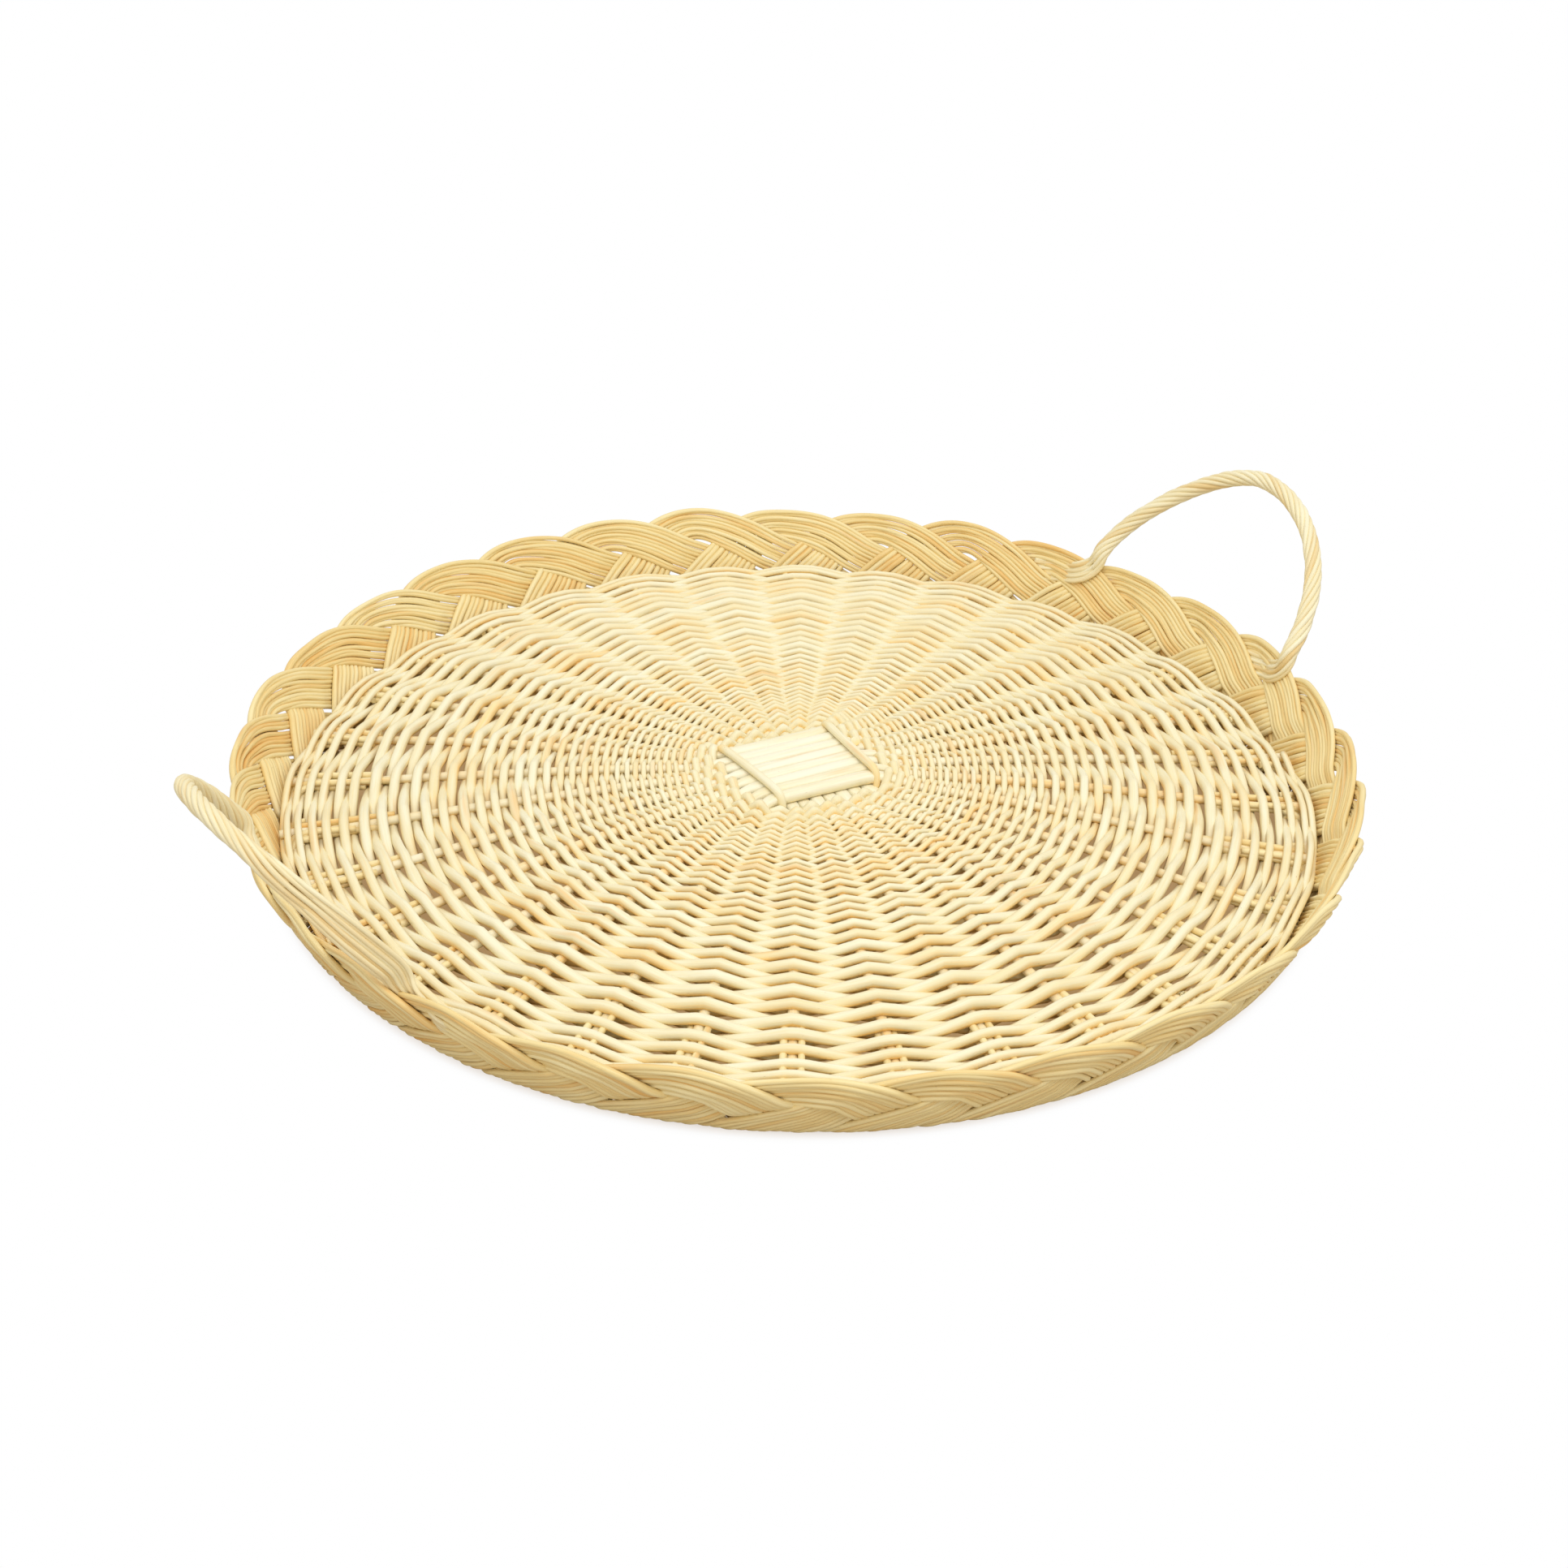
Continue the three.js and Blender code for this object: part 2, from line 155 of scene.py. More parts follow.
class Rods:
    def __init__(self):
        self.points = []
        self.grain = []
        self.tone = []
        self.quads = []
        self.caps = []
        self.total = 0

    def add(self, path, size, reference, tone, rng, sides=ROD_SIDES, closed=False, section=None):
        """One rod along path. size is its radius, or its half width and half height, at each point."""
        count = len(path)
        tangent = directions(path, closed)
        reference = np.broadcast_to(reference, path.shape)
        above = unit(reference - (reference * tangent).sum(1, keepdims=True) * tangent)
        side = np.cross(above, tangent)
        shape = ring_of(sides) if section is None else section
        sides = shape.shape[-2]
        shape = np.broadcast_to(shape, (count, sides, 2))
        size = np.asarray(size, float)
        if size.ndim < 2:
            size = np.repeat(np.broadcast_to(size, (count,))[:, None], 2, axis=1)
        across = shape[..., 0] * size[:, :1]
        upward = shape[..., 1] * size[:, 1:]
        points = path[:, None] + across[..., None] * side[:, None] + upward[..., None] * above[:, None]
        lengths = np.linalg.norm(np.diff(path, axis=0), axis=1)
        along = np.concatenate([[0], np.cumsum(lengths)])
        shift = rng.uniform(-GRAIN_SHIFT, GRAIN_SHIFT, 3)
        grain = np.stack([across, upward, np.repeat(along[:, None], sides, 1)], axis=2) + shift
        first = self.total + np.arange(count)[:, None] * sides
        here = first + np.arange(sides)
        there = first + (np.arange(sides) + 1) % sides
        rows = np.roll(np.arange(count), -1)[: count if closed else count - 1]
        now = np.arange(len(rows))
        faces = np.stack([here[now], there[now], there[rows], here[rows]], axis=2)
        self.points.append(points.reshape(-1, 3))
        self.grain.append(grain.reshape(-1, 3))
        tone = np.asarray(tone, float)
        tone = tone if tone.ndim == 2 else tone.reshape(-1, 1)
        self.tone.append(np.broadcast_to(tone, (count, sides)).ravel())
        self.quads.append(faces.reshape(-1, 4))
        if not closed:
            self.caps.append(here[0][::-1])
            self.caps.append(here[-1])
        self.total += count * sides

    def build(self, name, material):
        """The mesh object of these rods, in metres."""
        quads = np.concatenate(self.quads)
        corners = np.concatenate([quads.ravel()] + self.caps)
        sizes = np.concatenate([np.full(len(quads), 4), [len(cap) for cap in self.caps]]).astype(int)
        starts = np.concatenate([[0], np.cumsum(sizes)[:-1]])
        mesh = bpy.data.meshes.new(name)
        mesh.vertices.add(self.total)
        mesh.vertices.foreach_set("co", (np.concatenate(self.points) * MM).astype(np.float32).ravel())
        mesh.loops.add(len(corners))
        mesh.loops.foreach_set("vertex_index", corners.astype(np.int32))
        mesh.polygons.add(len(sizes))
        mesh.polygons.foreach_set("loop_start", starts.astype(np.int32))
        mesh.polygons.foreach_set("use_smooth", np.arange(len(sizes)) < len(quads))
        grain = mesh.attributes.new("grain", "FLOAT_VECTOR", "POINT")
        grain.data.foreach_set("vector", np.concatenate(self.grain).astype(np.float32).ravel())
        tone = mesh.attributes.new("tone", "FLOAT", "POINT")
        tone.data.foreach_set("value", np.concatenate(self.tone).astype(np.float32))
        mesh.update(calc_edges=True)
        mesh.validate()
        mesh.materials.append(material)
        piece = bpy.data.objects.new(name, mesh)
        bpy.context.scene.collection.objects.link(piece)
        return piece


# Willow: pale peeled wood with fibres along the rod, blotches, amber patches and dark flecks.
# Each noise has its stretch across, across and along the rod, its detail and its roughness.
FIBRES = ((2.6, 2.6, 0.09), 4.0, 0.62)
BLOTCHES = ((0.3, 0.3, 0.03), 2.0, 0.5)
PATCHES = ((0.25, 0.25, 0.018), 2.0, 0.5)
FLECKS = ((1.7, 1.7, 0.42), 2.0, 0.5)
SHADE_RANGE = (0.25, 0.75)
FIBRE_SHADE = 0.2
BLOTCH_SHADE = 0.22
PATCH_RANGE = (0.62, 0.8)
PATCH_STRENGTH = 0.75
FLECK_RANGE = (0.74, 0.82)
FLECK_STRENGTH = 0.55
FLECK_COLOUR = (0.32, 0.13, 0.04)
ROUGH_RANGE = (0.2, 0.8)
SMOOTHER = 0.08
ROUGHER = 0.1
PALE_STOP = 0.1
MIDDLE_STOP = 0.5
DEEP_STOP = 0.95
BUMP_STRENGTH = 0.35
BUMP_DEPTH = 0.25 * MM
MIX_FIRST_COLOUR = 6
MIX_SECOND_COLOUR = 7
MIX_COLOUR_RESULT = 2


def willow(name, pale, middle, deep, amber, rough):
    material = bpy.data.materials.new(name)
    material.use_nodes = True
    nodes = material.node_tree.nodes
    links = material.node_tree.links
    nodes.clear()
    output = nodes.new("ShaderNodeOutputMaterial")
    shader = nodes.new("ShaderNodeBsdfPrincipled")
    links.new(shader.outputs["BSDF"], output.inputs["Surface"])
    grain = nodes.new("ShaderNodeAttribute")
    grain.attribute_name = "grain"
    tone = nodes.new("ShaderNodeAttribute")
    tone.attribute_name = "tone"

    def noise(stretch, detail, roughness):
        scaled = nodes.new("ShaderNodeVectorMath")
        scaled.operation = "MULTIPLY"
        scaled.inputs[1].default_value = stretch
        links.new(grain.outputs["Vector"], scaled.inputs[0])
        texture = nodes.new("ShaderNodeTexNoise")
        texture.inputs["Scale"].default_value = 1.0
        texture.inputs["Detail"].default_value = detail
        texture.inputs["Roughness"].default_value = roughness
        links.new(scaled.outputs["Vector"], texture.inputs["Vector"])
        return texture.outputs["Fac"]

    def spread(value, across, start, end):
        node = nodes.new("ShaderNodeMapRange")
        node.inputs["From Min"].default_value = across[0]
        node.inputs["From Max"].default_value = across[1]
        node.inputs["To Min"].default_value = start
        node.inputs["To Max"].default_value = end
        links.new(value, node.inputs["Value"])
        return node.outputs["Result"]

    def added(first, second):
        node = nodes.new("ShaderNodeMath")
        node.operation = "ADD"
        links.new(first, node.inputs[0])
        links.new(second, node.inputs[1])
        return node.outputs["Value"]

    def mixed(colour, factor, other):
        node = nodes.new("ShaderNodeMix")
        node.data_type = "RGBA"
        links.new(factor, node.inputs["Factor"])
        links.new(colour, node.inputs[MIX_FIRST_COLOUR])
        node.inputs[MIX_SECOND_COLOUR].default_value = (*other, 1)
        return node.outputs[MIX_COLOUR_RESULT]

    fibres = noise(*FIBRES)
    blotches = noise(*BLOTCHES)
    patches = noise(*PATCHES)
    flecks = noise(*FLECKS)

    # The tone, which also carries painted shade, is added to the grain and moves the colour from pale to
    # deep.
    shade = added(tone.outputs["Fac"], spread(fibres, SHADE_RANGE, -FIBRE_SHADE, FIBRE_SHADE))
    shade = added(shade, spread(blotches, SHADE_RANGE, -BLOTCH_SHADE, BLOTCH_SHADE))
    ramp = nodes.new("ShaderNodeValToRGB")
    ramp.color_ramp.elements[0].position = PALE_STOP
    ramp.color_ramp.elements[0].color = (*pale, 1)
    ramp.color_ramp.elements[1].position = DEEP_STOP
    ramp.color_ramp.elements[1].color = (*deep, 1)
    centre = ramp.color_ramp.elements.new(MIDDLE_STOP)
    centre.color = (*middle, 1)
    links.new(shade, ramp.inputs["Fac"])

    colour = mixed(ramp.outputs["Color"], spread(patches, PATCH_RANGE, 0.0, PATCH_STRENGTH), amber)
    colour = mixed(colour, spread(flecks, FLECK_RANGE, 0.0, FLECK_STRENGTH), FLECK_COLOUR)
    links.new(colour, shader.inputs["Base Color"])
    roughness = spread(fibres, ROUGH_RANGE, rough - SMOOTHER, rough + ROUGHER)
    links.new(roughness, shader.inputs["Roughness"])
    bump = nodes.new("ShaderNodeBump")
    bump.inputs["Strength"].default_value = BUMP_STRENGTH
    bump.inputs["Distance"].default_value = BUMP_DEPTH
    links.new(fibres, bump.inputs["Height"])
    links.new(bump.outputs["Normal"], shader.inputs["Normal"])
    return material


stick_willow = willow("willow_stick", pale=(0.92, 0.875, 0.675), middle=(0.89, 0.8, 0.52),
                      deep=(0.93, 0.66, 0.27), amber=(0.84, 0.52, 0.18), rough=0.55)
weave_willow = willow("willow_weave", pale=(0.9, 0.845, 0.61), middle=(0.87, 0.755, 0.45),
                      deep=(0.99, 0.69, 0.27), amber=(0.84, 0.52, 0.18), rough=0.55)
border_willow = willow("willow_border", pale=(0.895, 0.765, 0.42), middle=(0.845, 0.665, 0.3),
                       deep=(0.81, 0.49, 0.145), amber=(0.78, 0.42, 0.11), rough=0.52)
handle_willow = willow("willow_handle", pale=(0.9, 0.83, 0.585), middle=(0.86, 0.75, 0.455),
                       deep=(0.79, 0.58, 0.26), amber=(0.7, 0.46, 0.17), rough=0.52)


def dress(rods, name, material, slot, body, *nodes):
    """Builds the rods as one piece that rides on a body in place of its solids."""
    piece = rods.build(name, material)
    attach(piece, body)
    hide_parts(*nodes)


def floor_height(radius):
    """Height of the middle of the weave."""
    radius = np.asarray(radius, float)
    crown = FLOOR_CROWN * (1 - (radius / FLOOR_RADIUS) ** 2)
    return FLOOR_EDGE_HEIGHT + crown + EDGE_RISE * smoothstep(radius, *EDGE_ZONE)


def spoke_angle(index):
    return CROSS_TURN + (np.asarray(index, float) + 0.5) * STEP


def spoke_side(index):
    """One for spokes of the upper sticks, minus one for those of the lower sticks."""
    quarter = ((np.asarray(index) + STICKS // 2) // STICKS) % 2
    return np.where(quarter == 0, 1.0, -1.0)


def stick_height(radius, reach, side):
    """Height of the middle of a stick: it leaves its layer of the cross at some reach along the cross."""
    layer = 1 - smoothstep(reach, *CROSS_LEAVE)
    return floor_height(radius * (1 - layer)) + side * CROSS_LAYER * layer


def spoke_height(index, radius):
    place = (np.asarray(index) + STICKS // 2) % STICKS - (STICKS - 1) / 2
    return stick_height(radius, radius * np.cos(place * STEP), spoke_side(index))


# The sticks: broad and flat side by side in the cross, then bent apart and narrowed to spokes.
STICK_SEED = 11
STICK_PITCH = 5.55
STICK_WIDTH = 5.5
STICK_HEIGHT = 4.1
STICK_SIDES = 12
STICK_SQUARENESS = 2.4
STICK_BEND = 4.0
STICK_NARROWS = (CROSS_HALF - 2, 30.0)
STICK_STRAY_SIDE = 0.12
STICK_STRAY_UP = 0.1
STICK_STRAY_REACH = 14
STICK_SIZE_SPREAD = 0.03
STICK_SIZE_WAVE = 0.015
STICK_SIZE_REACH = 20
STICK_TONE = 0.26
STICK_TONE_SPREAD = 0.09
STICK_UNDERSIDE_SHADE = 0.35
SPOKE_START = 43.2
SPOKE_POINTS = 60
SPOKE_TAPER = (60, SPOKE_END)
SPOKE_SHADE = 0.32
SPOKE_SHADE_ZONE = (40, 80)


def stick_section(flatness):
    """A round section, or one with a flatter top and bottom."""
    ring = ring_of(STICK_SIDES)[None]
    power = (2 / (2 + STICK_SQUARENESS * flatness))[:, None, None]
    return np.sign(ring) * np.abs(ring) ** power


def stick_line(place):
    """A stick in plan, from tip to tip: straight through the cross and bent to its spokes."""
    offset = place * STICK_PITCH
    angle = place * STEP
    bend = offset / math.tan(angle)
    radii = np.linspace(SPOKE_START, SPOKE_END, SPOKE_POINTS)
    ray = np.stack([radii * math.cos(angle), radii * math.sin(angle), radii * 0], axis=1)
    half = np.concatenate([[[0, offset, 0], [bend, offset, 0]], ray])
    path = np.concatenate([half[:0:-1] * [-1, 1, 1], half])
    return soften(resample(path, POINT_SPACING), POINT_SPACING, STICK_BEND)


def make_stick(group, index, side):
    rng = np.random.default_rng([STICK_SEED, index, side + 1])
    name = f"{group}_stick_{index + 1}"
    path = stick_line(index - (STICKS - 1) / 2)
    radius = np.hypot(path[:, 0], path[:, 1])
    reach = np.abs(path[:, 0])
    count = len(path)
    path[:, 1] += STICK_STRAY_SIDE * wander(count, POINT_SPACING, STICK_STRAY_REACH, rng)
    stray = STICK_STRAY_UP * wander(count, POINT_SPACING, STICK_STRAY_REACH, rng)
    path[:, 2] = stick_height(radius, reach, side) + stray
    narrow = smoothstep(reach, *STICK_NARROWS)
    taper = SPOKE_WIDTH + (SPOKE_TIP - SPOKE_WIDTH) * smoothstep(radius, *SPOKE_TAPER)
    width = STICK_WIDTH + (taper - STICK_WIDTH) * narrow
    height = STICK_HEIGHT + (taper * SPOKE_FLATNESS - STICK_HEIGHT) * narrow
    size = np.stack([width / 2, height / 2], axis=1)
    own_size = 1 + STICK_SIZE_SPREAD * rng.normal()
    size *= own_size + STICK_SIZE_WAVE * wander(count, POINT_SPACING, STICK_SIZE_REACH, rng)[:, None]
    # Painted shade: the spokes, which run under the weave, are drawn deeper than the open cross.
    tone = STICK_TONE + STICK_TONE_SPREAD * rng.normal() + SPOKE_SHADE * smoothstep(radius, *SPOKE_SHADE_ZONE)
    # Painted shade: each stick is drawn deeper on its lower side.
    tone = tone[:, None] + STICK_UNDERSIDE_SHADE * underside_shade(STICK_SIDES)
    turn = CROSS_TURN + (math.pi / 2 if side < 0 else 0)
    rods = Rods()
    rods.add(turned(path, turn), size, UP, tone, rng, section=stick_section(1 - narrow))
    dress(rods, f"{name}_rod", stick_willow, "stick", "tray", name)


for stick in range(STICKS):
    make_stick("upper", stick, 1)
    make_stick("lower", stick, -1)


# The rod that ties the cross, over the upper sticks and under the lower ones. One side runs askew.
BINDING_SEED = 21
BINDING_RADIUS = 1.7
BINDING_THINNER = 0.3
BINDING_THIN_ZONE = (30, 33)
BINDING_SIDES = 10
BINDING_BEND = 2.2
BINDING_CORNER = CROSS_HALF + 1.4
BINDING_ASKEW = 5.0
BINDING_LINES = ((23.3, 23.3), (22.4, 22.4), (23.8, 23.8 - BINDING_ASKEW), (22.4, 22.4))
BINDING_SLACK = 0.4
BINDING_END_HEIGHT = 5.8
BINDING_MIDDLE_HEIGHT = 6.1
BINDING_TONE = 0.42
BINDING_TONE_WAVE = 0.1
BINDING_TONE_REACH = 15
BINDING_CORNER_SHADE = 0.35
BINDING_CORNER_SHADE_ZONE = (27, 31)


def binding_line():
    """The closed line of the binding, made as three rounds so that the middle one has no ends."""
    stops = []
    for quarter, (first, last) in enumerate(BINDING_LINES):
        over = 1 if quarter % 2 == 0 else -1
        step_in = BINDING_ASKEW if quarter == len(BINDING_LINES) - 1 else 0.0
        side = np.array([
            [BINDING_CORNER, step_in - BINDING_CORNER, 0],
            [first + BINDING_SLACK, -CROSS_HALF + BINDING_SLACK, over * BINDING_END_HEIGHT],
            [first * 0.75 + last * 0.25, -CROSS_HALF / 2, over * BINDING_MIDDLE_HEIGHT],
            [first * 0.25 + last * 0.75, CROSS_HALF / 2, over * BINDING_MIDDLE_HEIGHT],
            [last + BINDING_SLACK, CROSS_HALF - BINDING_SLACK, over * BINDING_END_HEIGHT],
        ])
        stops.append(turned(side, quarter * math.pi / 2))
    loop = np.concatenate(stops)
    rounds = resample(np.concatenate([loop, loop, loop, loop[:1]]), POINT_SPACING)
    third = (len(rounds) - 1) // 3
    path = soften(rounds, POINT_SPACING, BINDING_BEND)[third:2 * third]
    path[:, 2] += floor_height(0)
    return path


def make_binding():
    rng = np.random.default_rng(BINDING_SEED)
    path = binding_line()
    from_centre = np.hypot(path[:, 0], path[:, 1])
    tone = BINDING_TONE + BINDING_TONE_WAVE * wander(len(path), POINT_SPACING, BINDING_TONE_REACH, rng)
    # Painted shade: the binding is drawn deeper at its corners, where it goes under the sticks.
    tone = tone + BINDING_CORNER_SHADE * smoothstep(from_centre, *BINDING_CORNER_SHADE_ZONE)
    radius = BINDING_RADIUS - BINDING_THINNER * smoothstep(from_centre, *BINDING_THIN_ZONE)
    path = turned(path, CROSS_TURN)
    rods = Rods()
    rods.add(path, radius, unit(path * [1, 1, 0]), tone, rng, sides=BINDING_SIDES, closed=True)
    dress(rods, "cross_binding_rod", weave_willow, "weave", "tray", "cross_binding")


make_binding()


# The weavers: two rods that chase each other round the floor, over one spoke and under the next.
# They stand for many lengths of rod, each with its own tone and thickness.
WEAVE_SEED = 31
WEAVE_RADII = [30, 40, 47, 57, 77, 99, 120, 132, 155, 168, 186, 200, 206.5]
WEAVE_PITCH = [2.7, 2.5, 1.7, 1.55, 2.1, 2.7, 3.2, 3.5, 4.0, 3.95, 3.2, 2.5, 1.5]
WEAVE_SAMPLES = 2000
WEAVE_FILL = 1.17
WEAVE_STRAY = 0.11
WEAVE_STRAY_POINTS = 9
WEAVE_BOB = 0.03
WEAVE_BOB_POINTS = 6
WEAVE_PRESSED = 0.89
THINNEST_WEAVER = 2.8
THICK_WEAVE = 150
INNER_THICKER = 0.15
INNER_WEAVE = (45, 80)
FIRST_ROUND = 31.5
FIRST_ALONG = 27.6
FIRST_ASIDE = 23.6
LAST_ROUND = 206.3
SQUARE_POWER = 6
CROSS_ROUNDS = 7.0
SPAN_STOPS = np.array([0, 0.05, 0.11, 0.2, 0.35, 0.5, 0.65, 0.8, 0.89, 0.95])
SPANS_LEFT_OUT = 2
SPOKE_FULL = 45
PAIR_FLAT = 2.4
PAIR_ZONE = (160, 175)
BUNDLE_FLAT = 3.2
BUNDLE_ZONE = (190, 197)
ROD_LENGTH = 620.0
ROD_STAGGER = 0.37
ROD_TAPER = 0.06
ROD_SPREAD = 0.06
WEAVE_TONE = 0.34
WEAVE_TONE_SPREAD = 0.07
WEAVE_TONE_WAVE = 0.04
WEAVE_TONE_POINTS = 20
WEAVE_UNDER_SHADE = 0.15
WEAVE_CENTRE_TONE = 0.05
WEAVE_CENTRE = (45, 90)
WEAVE_UNDERSIDE_SHADE = 0.75


def weave_rounds():
    """Radii, the number of rounds inside each of them and the pitch of the rounds there."""
    radii = np.linspace(FIRST_ROUND, LAST_ROUND, WEAVE_SAMPLES)
    pitch = np.interp(radii, WEAVE_RADII, WEAVE_PITCH)
    rounds = np.concatenate([[0], np.cumsum(np.diff(radii) / ((pitch[1:] + pitch[:-1]) / 2))])
    return radii, rounds, pitch


def weaver_plan(which):
    """A weaver in plan: for each point its last spoke and the share of the way to the next one,
    its radius, the pitch there and its angle. The first rounds follow the square of the cross.
    """
    radii, rounds, pitch = weave_rounds()
    total = rounds[-1]
    spans = SPOKES * int(round((total - 1) / 2)) - SPANS_LEFT_OUT
    place = (np.arange(spans)[:, None] + SPAN_STOPS).ravel()
    spoke = np.repeat(np.arange(spans), len(SPAN_STOPS))
    number = which + (total - 1) * place / spans
    radius = np.interp(number, rounds, radii)
    gap = np.interp(radius, radii, pitch)
    angle = spoke_angle(place)
    from_cross = angle - CROSS_TURN
    along = np.abs(np.cos(from_cross)) / FIRST_ALONG
    aside = np.abs(np.sin(from_cross)) / FIRST_ASIDE
    square = (along ** SQUARE_POWER + aside ** SQUARE_POWER) ** (-1 / SQUARE_POWER)
    radius = radius * (1 + np.exp(-number / CROSS_ROUNDS) * (square / FIRST_ROUND - 1))
    return spoke, place - spoke, radius, gap, angle


def make_weaver(name, which):
    rng = np.random.default_rng([WEAVE_SEED, which])
    spoke, share, radius, gap, angle = weaver_plan(which)
    count = len(spoke)

    # Its lengths of rod.
    length = np.concatenate([[0], np.cumsum(radius[1:] * np.diff(angle))])
    in_rods = length / ROD_LENGTH + ROD_STAGGER * which
    rod = np.floor(in_rods).astype(int)
    rod_tone = rng.normal(size=rod.max() + 1)
    rod_size = rng.normal(size=rod.max() + 1)
    own_size = 1.0 + ROD_TAPER * (0.5 - in_rods % 1) + ROD_SPREAD * rod_size[rod]
    diameter = gap * WEAVE_FILL * own_size
    diameter = np.where(radius > THICK_WEAVE, np.maximum(diameter, THINNEST_WEAVER), diameter)
    diameter *= 1 + INNER_THICKER * (1 - smoothstep(radius, *INNER_WEAVE))
    radius = radius + gap * WEAVE_STRAY * wander(count, 1, WEAVE_STRAY_POINTS, rng)

    # Over and under: it stays flat on the border's rods that lie beside a spoke.
    span = radius * STEP
    flat = PAIR_FLAT * smoothstep(radius, *PAIR_ZONE) + BUNDLE_FLAT * smoothstep(radius, *BUNDLE_ZONE)
    run = np.clip((share * span - flat) / np.maximum(span - 2 * flat, 1), 0, 1)
    wave = 1 - 2 * run
    first = spoke_height(spoke % SPOKES, radius)
    second = spoke_height((spoke + 1) % SPOKES, radius)
    middle = first + (second - first) * share
    over = np.where((spoke + which) % 2 == 0, 1.0, -1.0)
    thick = np.interp(radius, [SPOKE_FULL, SPOKE_END], [SPOKE_WIDTH, SPOKE_TIP]) * SPOKE_FLATNESS
    lift = (thick + diameter) / 2 * WEAVE_PRESSED
    bob = WEAVE_BOB * gap * wander(count, 1, WEAVE_BOB_POINTS, rng)
    height = middle + over * lift * wave + bob
    path = np.stack([radius * np.cos(angle), radius * np.sin(angle), height], axis=1)

    tone = WEAVE_TONE + WEAVE_TONE_SPREAD * rod_tone[rod]
    tone = tone + WEAVE_TONE_WAVE * wander(count, 1, WEAVE_TONE_POINTS, rng)
    # Painted shade: a weaver is drawn deeper where it passes under a spoke.
    tone = tone + WEAVE_UNDER_SHADE * smoothstep(-over * wave, 0, 1)
    tone = tone + WEAVE_CENTRE_TONE * (1 - smoothstep(radius, *WEAVE_CENTRE))
    # Painted shade: each weaver is drawn deeper on its lower side.
    tone = tone[:, None] + WEAVE_UNDERSIDE_SHADE * underside_shade(ROD_SIDES)
    rods = Rods()
    rods.add(path, diameter / 2, UP, tone, rng)
    dress(rods, f"{name}_rod", weave_willow, "weave", "tray", name)


make_weaver("weaver_a", 0)
make_weaver("weaver_b", 1)


# The border: places on its wall, and the lattice of rising and falling strips that its bundles follow.
# A place in the lattice is counted in strips, across the rising ones and across the falling ones.
STEP_LENGTH = 42.45
FOOT_LINE = 7.0
LEGS_MEET = 30.0
REACH = 2.2
STEPS_TO_MEET = 0.73
RISE_PER_STEP = LEGS_MEET / STEPS_TO_MEET
CROSSING_RISE = LEGS_MEET / REACH
RISING_HALF = 0.36
FALLING_HALF = 0.475
FALLING_SAG = 0.13
FOOT_HALF = 0.42
FAN_ZONE = (-1.9, -1.2)
RISING_CROSSES = (-1.58, -1.42)
FALLING_CROSSES = (1.38, 1.62)
CREST_START = -0.95
CREST_END = 0.95
CREST_WIDTH = 15.4
CREST_WINDOW = 0.25
CREST_SLANT = 0.18
CREST_STACK = 0.4
CREST_SPREAD = (1.3, 0.8)

# The border's rods: from the butt beside a spoke to the tip that is tucked in under the edge.
BORDER_SEED = 41
BORDER_RODS = 10
BORDER_BUTT = 2.75
BORDER_ROD = 2.1
BORDER_TIP = 2.05
BORDER_SHARES = [0, 0.28, 0.45, 1]
BORDER_BEND = 2.0
BORDER_SPACING = 1.9
BORDER_STRAY_SIDE = 0.2
BORDER_STRAY_OUT = 0.1
BORDER_STRAY_REACH = 9
BORDER_SIZE_SPREAD = 0.04
BORDER_SIZE_WAVE = 0.02
BORDER_SIZE_REACH = 12
BORDER_TONE = 0.42
BUNDLE_TONE_SPREAD = 0.07
BORDER_TONE_SPREAD = 0.13
BORDER_TONE_WAVE = 0.05
BORDER_TONE_REACH = 20
ROOT_TONE = 0.25
ROOT_TONE_ZONE = (0.1, 0.2)
GROOVE_SHADE = 0.22
GROOVE_SHADE_ZONE = (0.6, 1.0)
LONG_ROOT = (158, 180)
SHORT_ROOT = (193, 196.5)
ROOT_END = 199.0
ROOT_COLUMNS = (6.6, 6.6, 4.7, 2.9, 2.9, -2.9, -2.9, -4.7, -6.6, -6.6)
ROOT_LEVELS = (0.9, -0.9, 0.0, 0.9, -0.9, 0.9, -0.9, 0.0, 0.9, -0.9)
FOOT_DEPTH = 4.0
RISING_POINTS = 20
CREST_POINTS = 30
FALLING_POINTS = 22
TAIL_POINTS = 9
TAIL_RUN = 15.0
TAIL_HEIGHT = 4.0
TAIL_STEEPNESS = 1.6
TAIL_TUCK = 13
TAIL_CLEARANCE = 0.05
TABLE_CLEARANCE = 0.2


def wall_point(angle, along, offset):
    radius = WALL_FOOT + along * math.sin(LEAN) + offset
    return np.stack([radius * np.cos(angle), radius * np.sin(angle), along * math.cos(LEAN)], axis=-1)


def lattice(rising, falling):
    """Millimetres round the wall and along it, at a place across the rising and the falling strips."""
    rise = CROSSING_RISE * (REACH + falling - rising)
    return np.stack([(rising + rise / RISE_PER_STEP) * STEP_LENGTH, FOOT_LINE + rise], axis=-1)


